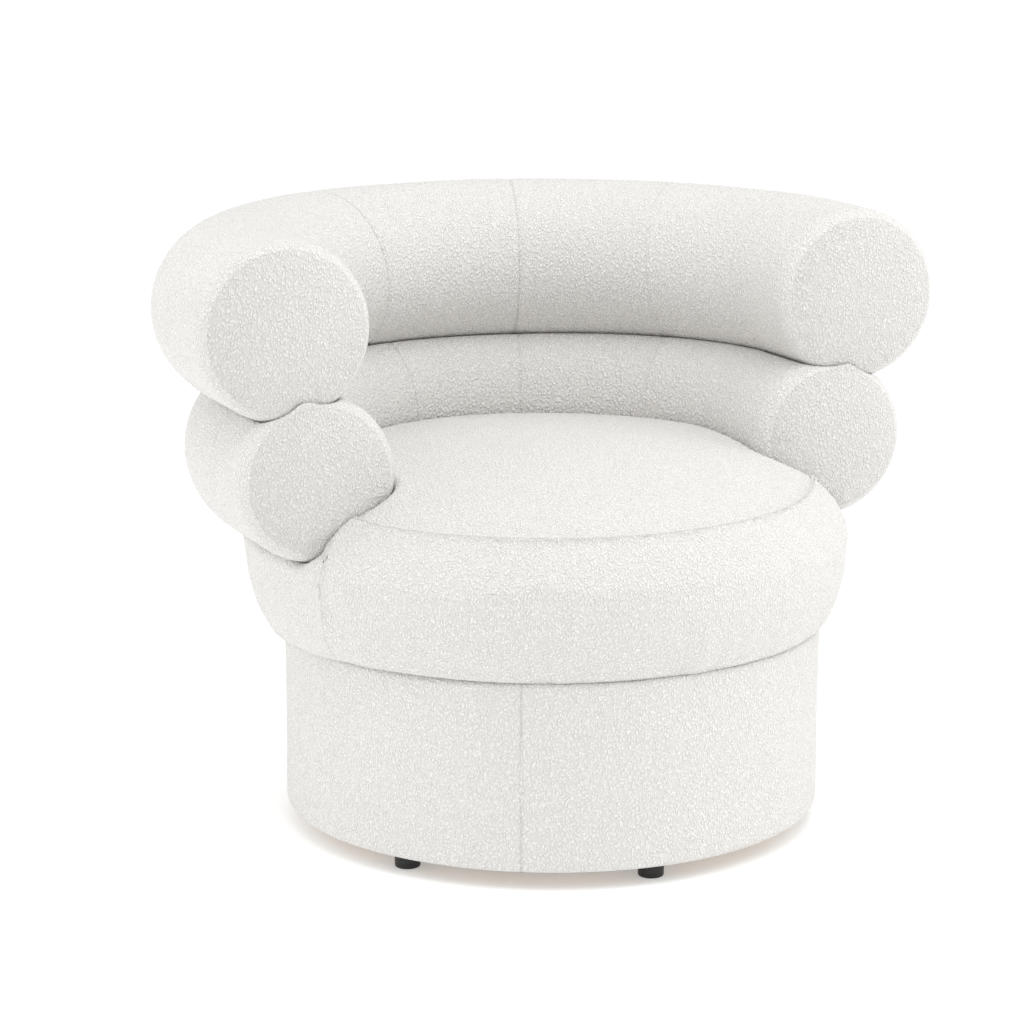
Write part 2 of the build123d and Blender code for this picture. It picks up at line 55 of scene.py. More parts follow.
stageLook = {
    "azimuth": -23.24,
    "elevation": 12.31,
    "distance": 3.682,
    "lens": 116.05,
    "sensor": 36.0,
    "aimAcross": -0.0446,
    "aimUp": 0.3436,
    "floorSize": 60.0,
    "floorColour": (0.80, 0.80, 0.795),
    "floorGlow": 0.335,
    "skyLow": 0.24,
    "skyHigh": 1.16,
    "stripFrom": 0.05,
    "stripTo": 0.12,
}

softboxes = [
    {"name": "leftSoftbox", "azimuth": -112, "elevation": 18, "distance": 3.2, "size": 2.4, "watts": 26},
    {"name": "rightSoftbox", "azimuth": 70, "elevation": 20, "distance": 3.2, "size": 2.4, "watts": 26},
    {"name": "topSoftbox", "azimuth": 0, "elevation": 64, "distance": 3.0, "size": 2.4, "watts": 32},
]


def towards(azimuth, elevation):
    a = radians(azimuth)
    e = radians(elevation)
    return Vector((sin(a) * cos(e), -cos(a) * cos(e), sin(e)))


def aimAt(obj, place, target):
    obj.location = place
    obj.rotation_euler = (target - place).to_track_quat("-Z", "Y").to_euler()


def makeStage(look):
    across = Vector((cos(radians(look["azimuth"])), sin(radians(look["azimuth"])), 0))
    target = Vector((swivel[0], swivel[1], look["aimUp"])) + across * look["aimAcross"]
    camera = bpy.data.objects.new("camera", bpy.data.cameras.new("camera"))
    camera.data.lens = look["lens"]
    camera.data.sensor_width = look["sensor"]
    scene.collection.objects.link(camera)
    aimAt(camera, target + towards(look["azimuth"], look["elevation"]) * look["distance"], target)
    scene.camera = camera

    half = look["floorSize"] / 2
    floorMesh = bpy.data.meshes.new("floor")
    floorMesh.from_pydata([(-half, -half, 0), (half, -half, 0), (half, half, 0), (-half, half, 0)],
                          [], [(0, 1, 2, 3)])
    floor = bpy.data.objects.new("floor", floorMesh)
    scene.collection.objects.link(floor)
    paint = bpy.data.materials.new("floorPaint")
    paint.use_nodes = True
    shader = paint.node_tree.nodes["Principled BSDF"]
    shader.inputs["Base Color"].default_value = (*look["floorColour"], 1)
    shader.inputs["Roughness"].default_value = 0.9
    shader.inputs["Specular IOR Level"].default_value = 0.1
    shader.inputs["Emission Color"].default_value = (1, 1, 1, 1)
    shader.inputs["Emission Strength"].default_value = look["floorGlow"]
    floorMesh.materials.append(paint)

    world = bpy.data.worlds.new("studio")
    scene.world = world
    world.use_nodes = True
    sky = world.node_tree.nodes["Background"]
    sky.inputs["Color"].default_value = (1.0, 0.997, 0.99, 1)
    # the studio's ceiling is lighter than its walls
    links = world.node_tree.links
    upwards = world.node_tree.nodes.new("ShaderNodeSeparateXYZ")
    direction = world.node_tree.nodes.new("ShaderNodeTexCoord")
    links.new(direction.outputs["Generated"], upwards.inputs["Vector"])
    ceiling = world.node_tree.nodes.new("ShaderNodeMapRange")
    ceiling.inputs["To Min"].default_value = look["skyLow"]
    ceiling.inputs["To Max"].default_value = look["skyHigh"]
    links.new(upwards.outputs["Z"], ceiling.inputs["Value"])
    # a low bright strip joins the floor's far edge to the walls
    strip = world.node_tree.nodes.new("ShaderNodeMapRange")
    strip.inputs["From Min"].default_value = look["stripFrom"]
    strip.inputs["From Max"].default_value = look["stripTo"]
    strip.inputs["To Min"].default_value = 1
    strip.inputs["To Max"].default_value = 0
    links.new(upwards.outputs["Z"], strip.inputs["Value"])
    brighter = world.node_tree.nodes.new("ShaderNodeMath")
    brighter.operation = "MAXIMUM"
    links.new(ceiling.outputs["Result"], brighter.inputs[0])
    links.new(strip.outputs["Result"], brighter.inputs[1])
    links.new(brighter.outputs["Value"], sky.inputs["Strength"])

    for box in softboxes:
        light = bpy.data.lights.new(box["name"], "AREA")
        light.shape = "DISK"
        light.size = box["size"]
        light.energy = box["watts"]
        lamp = bpy.data.objects.new(box["name"], light)
        scene.collection.objects.link(lamp)
        aimAt(lamp, target + towards(box["azimuth"], box["elevation"]) * box["distance"], target)
    scene.view_settings.view_transform = "Standard"


makeStage(stageLook)
print("stage ready")

# small helpers for node trees


def newMaterial(name):
    material = bpy.data.materials.new(name)
    material.use_nodes = True
    return material, material.node_tree.nodes, material.node_tree.links


def objectPlace(nodes, links, scale=(1, 1, 1)):
    place = nodes.new("ShaderNodeTexCoord")
    stretch = nodes.new("ShaderNodeMapping")
    stretch.inputs["Scale"].default_value = scale
    links.new(place.outputs["Object"], stretch.inputs["Vector"])
    return stretch.outputs["Vector"]


def noiseOf(nodes, links, place, size, detail=2.0):
    noise = nodes.new("ShaderNodeTexNoise")
    noise.inputs["Scale"].default_value = 1 / size
    noise.inputs["Detail"].default_value = detail
    links.new(place, noise.inputs["Vector"])
    return noise


def rangeOf(nodes, links, value, low, high, toLow=0.0, toHigh=1.0, smooth=False):
    ramp = nodes.new("ShaderNodeMapRange")
    ramp.interpolation_type = "SMOOTHSTEP" if smooth else "LINEAR"
    ramp.inputs["From Min"].default_value = low
    ramp.inputs["From Max"].default_value = high
    ramp.inputs["To Min"].default_value = toLow
    ramp.inputs["To Max"].default_value = toHigh
    links.new(value, ramp.inputs["Value"])
    return ramp.outputs["Result"]


def mathOf(nodes, links, operation, first, second=None, third=None):
    step = nodes.new("ShaderNodeMath")
    step.operation = operation
    for socket, value in zip(step.inputs, (first, second, third)):
        if value is None:
            continue
        if isinstance(value, (int, float)):
            socket.default_value = value
        else:
            links.new(value, socket)
    return step.outputs["Value"]


def mixOf(nodes, links, factor, colourA, colourB):
    mix = nodes.new("ShaderNodeMix")
    mix.data_type = "RGBA"
    links.new(factor, mix.inputs["Factor"])
    colours = [socket for socket in mix.inputs if socket.type == "RGBA"]
    for socket, colour in zip(colours, (colourA, colourB)):
        if isinstance(colour, tuple):
            socket.default_value = (*colour, 1)
        else:
            links.new(colour, socket)
    return [socket for socket in mix.outputs if socket.type == "RGBA"][0]


def bumpOf(nodes, links, shader, height, distance, strength=1.0):
    bump = nodes.new("ShaderNodeBump")
    bump.inputs["Strength"].default_value = strength
    bump.inputs["Distance"].default_value = distance
    links.new(height, bump.inputs["Height"])
    links.new(bump.outputs["Normal"], shader.inputs["Normal"])


# the boucle cloth

boucleLook = {
    "loopColour": (0.93, 0.919, 0.902),
    # painted shade: the darker colour of the hollows between the nubs
    "gapShadeColour": (0.69, 0.675, 0.655),
    "nubSize": 2.9 * mm,
    "nubStretch": 1.35,
    "curlSize": 4.0 * mm,
    "curlShare": 0.12,
    "curlRing": 0.33,
    "wander": 0.75,
    "yarnSize": 0.8 * mm,
    "yarnShare": 0.16,
    "cloudSize": 80 * mm,
    "cloudDepth": 0.03,
    "pile": 1.5 * mm,
    "seamShade": 0.16,
}


def makeBoucle(look):
    material, nodes, links = newMaterial("boucleCloth")
    shader = nodes["Principled BSDF"]
    place = objectPlace(nodes, links, (1, 1, 1 / look["nubStretch"]))
    # the yarn wanders, so its nubs leave their rows
    drift = noiseOf(nodes, links, place, look["nubSize"] * 2.3)
    push = nodes.new("ShaderNodeVectorMath")
    push.operation = "MULTIPLY_ADD"
    links.new(drift.outputs["Color"], push.inputs[0])
    push.inputs[1].default_value = (look["wander"] * look["nubSize"],) * 3
    links.new(place, push.inputs[2])
    bent = push.outputs["Vector"]
    nubs = nodes.new("ShaderNodeTexVoronoi")
    nubs.inputs["Scale"].default_value = 1 / look["nubSize"]
    links.new(bent, nubs.inputs["Vector"])
    nubHeight = rangeOf(nodes, links, nubs.outputs["Distance"], 0.10, 0.66, 1, 0, True)
    # larger curls of yarn lie over the nubs as small rings
    curls = nodes.new("ShaderNodeTexVoronoi")
    curls.inputs["Scale"].default_value = 1 / look["curlSize"]
    links.new(bent, curls.inputs["Vector"])
    fromRing = mathOf(nodes, links, "SUBTRACT", curls.outputs["Distance"], look["curlRing"])
    fromRing = mathOf(nodes, links, "ABSOLUTE", fromRing)
    ringHeight = rangeOf(nodes, links, fromRing, 0.04, 0.22, 1, 0, True)
    yarn = noiseOf(nodes, links, bent, look["yarnSize"], 2)
    height = mathOf(nodes, links, "MULTIPLY_ADD", ringHeight, look["curlShare"], nubHeight)
    height = mathOf(nodes, links, "MULTIPLY_ADD", yarn.outputs["Fac"], look["yarnShare"], height)
    bumpOf(nodes, links, shader, height, look["pile"], 0.9)
    # painted shade between the nubs, a slow change of tone, and painted shade that gathers in a seam
    depth = rangeOf(nodes, links, height, 0.05, 0.75)
    cloth = mixOf(nodes, links, depth, look["gapShadeColour"], look["loopColour"])
    cloud = noiseOf(nodes, links, place, look["cloudSize"])
    panel = nodes.new("ShaderNodeAttribute")
    panel.attribute_name = "panelTone"
    seam = nodes.new("ShaderNodeAttribute")
    seam.attribute_name = "seamShade"
    base = 1 - look["cloudDepth"] / 2
    lift = mathOf(nodes, links, "MULTIPLY_ADD", cloud.outputs["Fac"], look["cloudDepth"], base)
    # panelTone holds each cover panel's tone, and on the end panels it holds the painted face shade
    lift = mathOf(nodes, links, "ADD", lift, panel.outputs["Fac"])
    lift = mathOf(nodes, links, "MULTIPLY_ADD", seam.outputs["Fac"], -look["seamShade"], lift)
    final = nodes.new("ShaderNodeVectorMath")
    final.operation = "SCALE"
    links.new(cloth, final.inputs[0])
    links.new(lift, final.inputs["Scale"])
    links.new(final.outputs["Vector"], shader.inputs["Base Color"])
    shader.inputs["Roughness"].default_value = 0.95
    shader.inputs["Specular IOR Level"].default_value = 0.15
    shader.inputs["Sheen Weight"].default_value = 0.2
    shader.inputs["Sheen Roughness"].default_value = 0.6
    shader.inputs["Sheen Tint"].default_value = (1.0, 0.985, 0.965, 1)
    return material


boucle = makeBoucle(boucleLook)

# finishes of the frame, the swivel, the springs and the padding

woodLooks = {
    "plywood": {"light": (0.66, 0.50, 0.33), "dark": (0.52, 0.36, 0.21),
                "grain": (14, 1.2, 90), "ply": 1.5 * mm},
    "softwood": {"light": (0.74, 0.57, 0.36), "dark": (0.58, 0.40, 0.22),
                 "grain": (60, 60, 5), "ply": 0},
    "hardboard": {"light": (0.30, 0.19, 0.11), "dark": (0.22, 0.135, 0.075),
                  "grain": (90, 90, 90), "ply": 0},
}

metalLooks = {
    "screw_steel": {"colour": (0.60, 0.57, 0.46), "metal": 1.0, "rough": (0.28, 0.42), "mark": 0.8 * mm},
    "frame_steel": {"colour": (0.035, 0.035, 0.038), "metal": 0.0, "rough": (0.42, 0.55), "mark": 0.6 * mm},
    "ball_steel": {"colour": (0.72, 0.73, 0.75), "metal": 1.0, "rough": (0.06, 0.12), "mark": 2.0 * mm},
    "spring_steel": {"colour": (0.30, 0.30, 0.31), "metal": 1.0, "rough": (0.30, 0.46), "mark": 1.2 * mm},
}

softLooks = {
    "pad_felt": {"light": (0.40, 0.39, 0.37), "dark": (0.26, 0.25, 0.24),
                 "size": 1.6 * mm, "pile": 0.5 * mm},
    "dust_cloth": {"light": (0.030, 0.030, 0.032), "dark": (0.014, 0.014, 0.015),
                   "size": 1.1 * mm, "pile": 0.15 * mm},
    "foam": {"light": (0.86, 0.80, 0.62), "dark": (0.66, 0.58, 0.40),
             "size": 1.3 * mm, "pile": 0.6 * mm},
    "glide_plastic": {"light": (0.018, 0.018, 0.018), "dark": (0.012, 0.012, 0.012),
                      "size": 0.5 * mm, "pile": 0.04 * mm},
}


def makeWood(name, look):
    material, nodes, links = newMaterial(name)
    shader = nodes["Principled BSDF"]
    place = objectPlace(nodes, links, look["grain"])
    grain = noiseOf(nodes, links, place, 1.0, 5)
    tone = rangeOf(nodes, links, grain.outputs["Fac"], 0.32, 0.68, 0, 1, True)
    if look["ply"]:
        # the plies show as thin layers one above the other on a cut edge
        layers = nodes.new("ShaderNodeTexWave")
        layers.bands_direction = "Z"
        layers.inputs["Scale"].default_value = 1 / (look["ply"] * tau)
        layers.inputs["Distortion"].default_value = 0.6
        links.new(objectPlace(nodes, links), layers.inputs["Vector"])
        tone = mathOf(nodes, links, "MULTIPLY", tone, 0.65)
        tone = mathOf(nodes, links, "MULTIPLY_ADD", layers.outputs["Fac"], 0.35, tone)
    links.new(mixOf(nodes, links, tone, look["light"], look["dark"]), shader.inputs["Base Color"])
    links.new(rangeOf(nodes, links, grain.outputs["Fac"], 0.3, 0.7, 0.5, 0.72), shader.inputs["Roughness"])
    bumpOf(nodes, links, shader, grain.outputs["Fac"], 0.2 * mm, 0.5)
    return material


def makeMetal(name, look):
    material, nodes, links = newMaterial(name)
    shader = nodes["Principled BSDF"]
    marks = noiseOf(nodes, links, objectPlace(nodes, links), look["mark"], 4)
    shade = tuple(0.82 * part for part in look["colour"])
    links.new(mixOf(nodes, links, marks.outputs["Fac"], shade, look["colour"]), shader.inputs["Base Color"])
    rough = rangeOf(nodes, links, marks.outputs["Fac"], 0.3, 0.7, *look["rough"])
    links.new(rough, shader.inputs["Roughness"])
    shader.inputs["Metallic"].default_value = look["metal"]
    bumpOf(nodes, links, shader, marks.outputs["Fac"], 0.03 * mm, 0.4)
    return material


def makeSoft(name, look):
    material, nodes, links = newMaterial(name)
    shader = nodes["Principled BSDF"]
    fibres = noiseOf(nodes, links, objectPlace(nodes, links), look["size"], 4)
    tone = rangeOf(nodes, links, fibres.outputs["Fac"], 0.34, 0.62, 0, 1, True)
    links.new(mixOf(nodes, links, tone, look["dark"], look["light"]), shader.inputs["Base Color"])
    glossy = name == "glide_plastic"
    shader.inputs["Roughness"].default_value = 0.45 if glossy else 0.95
    shader.inputs["Specular IOR Level"].default_value = 0.45 if glossy else 0.2
    bumpOf(nodes, links, shader, fibres.outputs["Fac"], look["pile"], 0.7)
    return material


finishes = {"boucle": boucle}
for kind, looks in ((makeWood, woodLooks), (makeMetal, metalLooks), (makeSoft, softLooks)):
    for name, look in looks.items():
        finishes[name] = kind(name, look)

for part in frame["record"]["subparts"]:
    shape = frame["nodes"][part["node"]].data
    if not shape.materials:
        shape.materials.append(None)
    for index in range(len(shape.materials)):
        shape.materials[index] = finishes[part["material_slot"]]
print("finishes ready:", len(finishes))

# shared making of the soft pieces


def gradient(distance, points, step=0.0005):
    slope = np.zeros_like(points)
    for axis in range(3):
        shift = np.zeros(3)
        shift[axis] = step
        slope[:, axis] = (distance(points + shift) - distance(points - shift)) / (2 * step)
    return slope


def softPlus(value, width):
    return np.where(value > 30 * width, value, width * np.log1p(np.exp(np.clip(value / width, -60, 60))))


def pushClear(points, distance, gap, width, rounds=5, shrink=0.6):
    for _ in range(rounds):
        push = softPlus(gap - distance(points), width)
        push = np.where(push < 0.02 * mm, 0, push)
        slope = gradient(distance, points)
        size = np.linalg.norm(slope, axis=1, keepdims=True)
        points = points + slope / np.maximum(size, 0.3) * push[:, None]
        width = width * shrink
    return points


def gridMean(grid):
    beside = (np.roll(grid, 1, axis=1) + np.roll(grid, -1, axis=1)) / 2
    padded = np.concatenate([grid[:1], grid, grid[-1:]], axis=0)
    along = (padded[2:] + padded[:-2]) / 2
    return (beside + along) / 2


def press(points, rows, columns, distance, gap, width):
    # foam gives way where a neighbour leans on it, and its cloth stays smooth beside the crease
    start = points
    points = pushClear(points, distance, gap, width)
    moved = np.clip(np.linalg.norm(points - start, axis=1) / (1.5 * mm), 0, 1).reshape(rows, columns, 1)
    for _ in range(4):
        moved = gridMean(moved)
    for _ in range(3):
        grid = points.reshape(rows, columns, 3)
        points = (grid + (gridMean(grid) - grid) * moved * 0.7).reshape(-1, 3)
        points = pushClear(points, distance, gap, 0.8 * mm, 2)
    return points


def lumps(points, seed, reach):
    random = np.random.default_rng(seed)
    total = np.zeros(len(points))
    for _ in range(7):
        a, b, c = random.uniform(0, tau, 3)
        pace = random.uniform(0.4, 1.0) / reach
        direction = np.array([cos(a) * cos(b), sin(a) * cos(b), sin(b)])
        total = total + np.sin(points @ direction * tau * pace + c)
    return total / 7


def spacedAlong(start, end, step, marks, fine):
    count = int(round((end - start) / step))
    values = [v for v in np.linspace(start, end, count + 1)
              if all(abs(v - mark) > fine[-1] + 0.4 * step for mark in marks)]
    for mark in marks:
        for offset in fine:
            values.extend([mark + offset] if offset == 0 else [mark - offset, mark + offset])
    return np.array(sorted(v for v in values if start <= v <= end))


def gridQuads(rows, columns, closed=False):
    row, column = np.meshgrid(np.arange(rows if closed else rows - 1), np.arange(columns), indexing="ij")
    row, column = row.reshape(-1), column.reshape(-1)
    below = (row + 1) % rows
    beside = (column + 1) % columns
    return np.stack([row * columns + column, row * columns + beside,
                     below * columns + beside, below * columns + column], axis=1).tolist()


def fan(ring, tip):
    return [(ring[i], ring[(i + 1) % len(ring)], tip) for i in range(len(ring))]


def endFans(rows, columns):
    # the two points that close a grid's first and last rings follow its own points
    firstRing = list(range(columns))
    lastRing = list(range((rows - 1) * columns, rows * columns))
    return fan(firstRing[::-1], rows * columns) + fan(lastRing, rows * columns + 1)


def faceOutwards(mesh):
    volume = 0
    for face in mesh.polygons:
        corners = [mesh.vertices[i].co for i in face.vertices]
        for i in range(1, len(corners) - 1):
            volume += corners[0].dot(corners[i].cross(corners[i + 1]))
    if volume < 0:
        mesh.flip_normals()


def makePiece(name, points, faces, body, replaced, tone=0.0, shade=None):
    mesh = bpy.data.meshes.new(name)
    mesh.from_pydata(np.asarray(points).tolist(), [], faces)
    mesh.validate()
    faceOutwards(mesh)
    tones = np.zeros(len(mesh.vertices), np.float32) + np.asarray(tone, np.float32)
    shades = np.zeros(len(mesh.vertices), np.float32)
    if shade is not None:
        shades[:len(shade)] = shade
    mesh.attributes.new("panelTone", "FLOAT", "POINT").data.foreach_set("value", tones)
    mesh.attributes.new("seamShade", "FLOAT", "POINT").data.foreach_set("value", shades)
    mesh.materials.append(boucle)
    mesh.polygons.foreach_set("use_smooth", [True] * len(mesh.polygons))
    piece = bpy.data.objects.new(name, mesh)
    scene.collection.objects.link(piece)
    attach(piece, body)
    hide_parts(*replaced)
    return piece


puffLook = {"pressure": 4.0, "frames": 20, "tension": 14.0, "bending": 0.8, "mass": 0.3, "quality": 4}


def puff(points, faces, held, cap, look=puffLook):
    # pressure moves the cloth between its sewn lines, by no more than the cap
    mesh = bpy.data.meshes.new("puffTrial")
    mesh.from_pydata(points.tolist(), [], faces)
    trial = bpy.data.objects.new("puffTrial", mesh)
    scene.collection.objects.link(trial)
    group = trial.vertex_groups.new(name="sewn")
    for level in (0.25, 0.5, 0.75, 1.0):
        chosen = np.nonzero((held > level - 0.125) & (held <= level + 0.125))[0]
        group.add(chosen.tolist(), level, "REPLACE")
    cloth = trial.modifiers.new("puff", "CLOTH")
    cloth.settings.quality = look["quality"]
    cloth.settings.mass = look["mass"]
    cloth.settings.tension_stiffness = look["tension"]
    cloth.settings.compression_stiffness = look["tension"]
    cloth.settings.bending_stiffness = look["bending"]
    cloth.settings.use_pressure = True
    cloth.settings.uniform_pressure_force = look["pressure"]
    cloth.settings.vertex_group_mass = "sewn"
    cloth.settings.effector_weights.gravity = 0
    cloth.collision_settings.use_collision = False
    cloth.point_cache.frame_start = 1
    cloth.point_cache.frame_end = look["frames"]
    for frameNumber in range(1, look["frames"] + 1):
        scene.frame_set(frameNumber)
    moved = trial.evaluated_get(bpy.context.evaluated_depsgraph_get()).data
    flat = np.empty(len(points) * 3, np.float32)
    moved.vertices.foreach_get("co", flat)
    bpy.data.objects.remove(trial)
    bpy.data.meshes.remove(mesh)
    scene.frame_set(1)
    move = flat.reshape(-1, 3).astype(float) - points
    size = np.maximum(np.linalg.norm(move, axis=1), 1e-9)
    return points + move * (cap * np.tanh(size / cap) / size)[:, None]


seamLook = {
    "depth": 0.9 * mm,
    "width": 1.3 * mm,
    "valley": 0.7 * mm,
    "valleyWidth": 9 * mm,
    "shadeWidth": 1.4 * mm,
}
# rows of points crowd at these distances from a seam
besideSeam = [0, 1 * mm, 2.2 * mm, 4 * mm, 7 * mm]


def seamDip(distance, share=1.0):
    narrow = seamLook["depth"] * np.exp(-(distance / seamLook["width"]) ** 2)
    wide = seamLook["valley"] * np.exp(-(distance / seamLook["valleyWidth"]) ** 2)
    return (narrow + wide) * share


def seamLine(distance):
    return np.exp(-(distance / seamLook["shadeWidth"]) ** 2)


# bolsters

bolsterLooks = {
    "upper": {
        "tube": 96.5 * mm,
        "endRound": 24 * mm,
        "seams": [-57, -25, 16, 52, 84],
        "seamLean": [0, 4, 0, 5, 9],
        "seamShare": [0.45, 1.0, 0.9, 0.5, 0.35],
        "panelTone": [0, 0, 0, -0.004, 0.012, 0.016],
        "fromTop": True,
        "seed": 11,
    },
    "lower": {
        "tube": 90 * mm,
        "endRound": 28 * mm,
        "seams": [-95, -59, -17, 18, 59, 95],
        "seamLean": [0, 0, 3, 0, 3, 0],
        "seamShare": [0.4, 0.4, 0.8, 0.6, 0.5, 0.4],
        "panelTone": [0, 0, 0, 0, -0.004, 0.012, 0.016],
        "fromTop": False,
        "seed": 23,
    },
}

bolsterShape = {
    "rowStep": 5.5 * mm,
    "columns": 144,
    "capSeamTurn": 52,
    "faceDome": 4 * mm,
    # painted shade that darkens the round end faces of the bolsters
    "paintedFaceShade": -0.08,
    "clothMove": 3.5 * mm,
    "faceClothMove": 5 * mm,
    "lump": 1.5 * mm,
    "lumpReach": 0.16,
    "pucker": 0.5 * mm,
    "gap": 0.6 * mm,
    "creaseWidth": 1.2 * mm,
    "lining": 5 * mm,
}


def bolsterPlace(name, look):
    low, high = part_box(f"{name}_bolster_cover")
    endY = min(low.y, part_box(f"{name}_bolster_end_cap_left")[0].y)
    tube = look["tube"]
    radius = high.x - tube
    return {
        "tube": tube,
        "endRound": look["endRound"],
        "radius": radius,
        "y": high.y - tube - radius,
        "z": high.z - tube if look["fromTop"] else low.z + tube,
        "end": endY,
        "grown": 0,
    }


places = {name: bolsterPlace(name, look) for name, look in bolsterLooks.items()}


def bolsterDistance(points, place):
    x = np.abs(points[:, 0])
    y = points[:, 1] - place["y"]
    z = points[:, 2] - place["z"]
    ringward = np.hypot(points[:, 0], y) - place["radius"]
    across = np.where(y > 0, ringward, x - place["radius"])
    radial = np.hypot(across, z)
    beyond = (place["end"] + place["endRound"] - place["y"]) - y
    past = radial - (place["tube"] - place["endRound"])
    corner = np.hypot(np.maximum(past, 0), np.maximum(beyond, 0)) - place["endRound"]
    corner = corner + np.minimum(np.maximum(past, beyond), 0)
    return np.where(beyond > 0, corner, radial - place["tube"]) - place["grown"]


def bolsterRows(place, seams, shape):
    # one row of points per step along the U, then round each end and in over its face
    tube, endRound = place["tube"], place["endRound"]
    half = place["y"] - place["end"] + place["radius"] * pi / 2
    along = spacedAlong(-half + endRound, half - endRound, shape["rowStep"], seams, besideSeam)
    seamTurn = shape["capSeamTurn"]
    turns = np.concatenate([np.linspace(0, 90, 13)[1:], [seamTurn - 3, seamTurn, seamTurn + 3]])
    turns = np.radians(np.array(sorted(set(turns))))
    flat = tube - endRound
    head = [(half - endRound + endRound * sin(t), flat + endRound * cos(t)) for t in turns]
    shares = np.linspace(1, 0.05, 15)[1:]
    head += [(half + shape["faceDome"] * (1 - share ** 2), flat * share) for share in shares]
    seamRow = int(np.argmin(np.abs(np.degrees(turns) - seamTurn)))
    rows = [(-s, r) for s, r in head[::-1]] + [(s, tube) for s in along] + head
    first = len(head) - 1 - seamRow
    return np.array(rows), first, len(rows) - 1 - first, half


def makeBolster(name, look, shape):
    place = places[name]
    tube, radius = place["tube"], place["radius"]
    seams = [radians(a) * radius for a in look["seams"]]
    leans = [radians(a) * radius for a in look["seamLean"]]
    rows, first, last, half = bolsterRows(place, seams, shape)
    columns = shape["columns"]
    angle = np.arange(columns) / columns * tau
    s = np.repeat(rows[:, :1], columns, axis=1)
    reach = np.repeat(rows[:, 1:], columns, axis=1)
    angles = np.zeros_like(s) + angle
    full = np.clip((reach - (tube - place["endRound"])) / place["endRound"], 0, 1)
    warped, dip, shade, folds = s.copy(), np.zeros_like(s), np.zeros_like(s), np.zeros_like(s)
    inner = np.clip(-np.cos(angles), 0, 1) ** 0.7
    for number, (seam, lean, share) in enumerate(zip(seams, leans, look["seamShare"])):
        away = s - seam
        # a seam leans along the tube from its top to its bottom, and small folds gather beside it
        warped = warped - 0.5 * lean * np.sin(angles) * np.exp(-(away / (60 * mm)) ** 2)
        dip = dip + seamDip(away, share)
        shade = np.maximum(shade, seamLine(away) * share)
        pleat = np.sin(angles * 23 + number * 2.1 + np.sin(angles * 5 + number))
        folds = folds + pleat * np.exp(-(away / (20 * mm)) ** 2) * shape["pucker"] * 0.8 * share
        drag = np.sin(away / (17 * mm) * tau + 3 * np.sin(angles + number))
        folds = folds + drag * inner * np.exp(-(away / (55 * mm)) ** 2) * shape["pucker"]
    for row in (first, last):
        dip = dip + seamDip(s - rows[row, 0], 0.5) * (full > 0.02)
    size = reach + (folds - dip) * full
    arc = np.clip(warped, -radius * pi / 2, radius * pi / 2)
    turn = arc / radius
    outX, outY = np.sin(turn), np.cos(turn)
    middle = np.stack([radius * outX, place["y"] + radius * outY - np.abs(warped - arc),
                       np.full_like(outX, place["z"])], axis=2).reshape(-1, 3)
    points = np.stack([middle[:, 0] + (outX * np.cos(angles) * size).reshape(-1),
                       middle[:, 1] + (outY * np.cos(angles) * size).reshape(-1),
                       middle[:, 2] + (np.sin(angles) * size).reshape(-1)], axis=1)
    outward = points - middle
    outward = outward / np.maximum(np.linalg.norm(outward, axis=1, keepdims=True), 1e-9)
    lump = lumps(points, look["seed"], shape["lumpReach"]) * shape["lump"] * full.reshape(-1)
    points = points + outward * lump[:, None]
    # stuffing
    count = len(rows)
    tips = np.array([points[:columns].mean(axis=0), points[-columns:].mean(axis=0)])
    closedFaces = gridQuads(count, columns) + endFans(count, columns)
    held = np.clip(shade * 1.2, 0, 1)
    held[[first, last]] = 0.75
    cap = np.where(full > 0.5, shape["clothMove"], shape["faceClothMove"]).reshape(-1)
    held = np.append(held.reshape(-1), [0, 0])
    cap = np.append(cap, [shape["faceClothMove"]] * 2)
    points = puff(np.vstack([points, tips]), closedFaces, held, cap)[:-2]
    if name == "lower":
        points = press(points, count, columns, lambda p: bolsterDistance(p, places["upper"]),
                       shape["gap"], shape["creaseWidth"])
    # what leans on this bolster later on meets its stuffed surface
    place["grown"] = float(np.percentile(bolsterDistance(points, place)[full.reshape(-1) > 0.9], 60))
    tone = np.zeros_like(s)
    edges = [-2 * half] + seams + [2 * half]
    for panel, (start, end) in enumerate(zip(edges[:-1], edges[1:])):
        tone[(s >= start) & (s < end)] = look["panelTone"][panel]
    # the long cover, closed behind its end seams
    grid = points.reshape(count, columns, 3)
    cover = grid[first:last + 1].reshape(-1, 3)
    coverRows = last - first + 1
    back = np.array([0, shape["lining"] * 2, 0])
    lids = np.array([cover[:columns].mean(axis=0) + back, cover[-columns:].mean(axis=0) + back])
    faces = gridQuads(coverRows, columns) + endFans(coverRows, columns)
    coverTone = np.append(tone[first:last + 1].reshape(-1), [0, 0])
    makePiece(f"{name}_bolster", np.vstack([cover, lids]), faces, "seat",
              [f"{name}_bolster_cover", f"{name}_bolster_foam"], coverTone,
              shade[first:last + 1].reshape(-1))
    # a round end panel on each arm, from its seam inwards
    for side, face in (("right", grid[:first + 1][::-1]), ("left", grid[last:])):
        depth = np.array([0, shape["lining"], 0])
        tip = face[-1].mean(axis=0)
        lid = face[0].mean(axis=0) + depth
        panelPoints = np.vstack([face.reshape(-1, 3), [lid], [tip]])
        panelFaces = gridQuads(len(face), columns) + endFans(len(face), columns)
        # painted shade along the panel's seam row, and painted face shade over the whole panel
        rim = np.zeros((len(face), columns))
        rim[0] = 0.6
        makePiece(f"{name}_bolster_end_panel_{side}", panelPoints, panelFaces, "seat",
                  [f"{name}_bolster_end_cap_{side}"], shape["paintedFaceShade"], rim.reshape(-1))


for bolsterName, bolsterLook in bolsterLooks.items():
    makeBolster(bolsterName, bolsterLook, bolsterShape)
print("bolsters ready")

# seat cushion

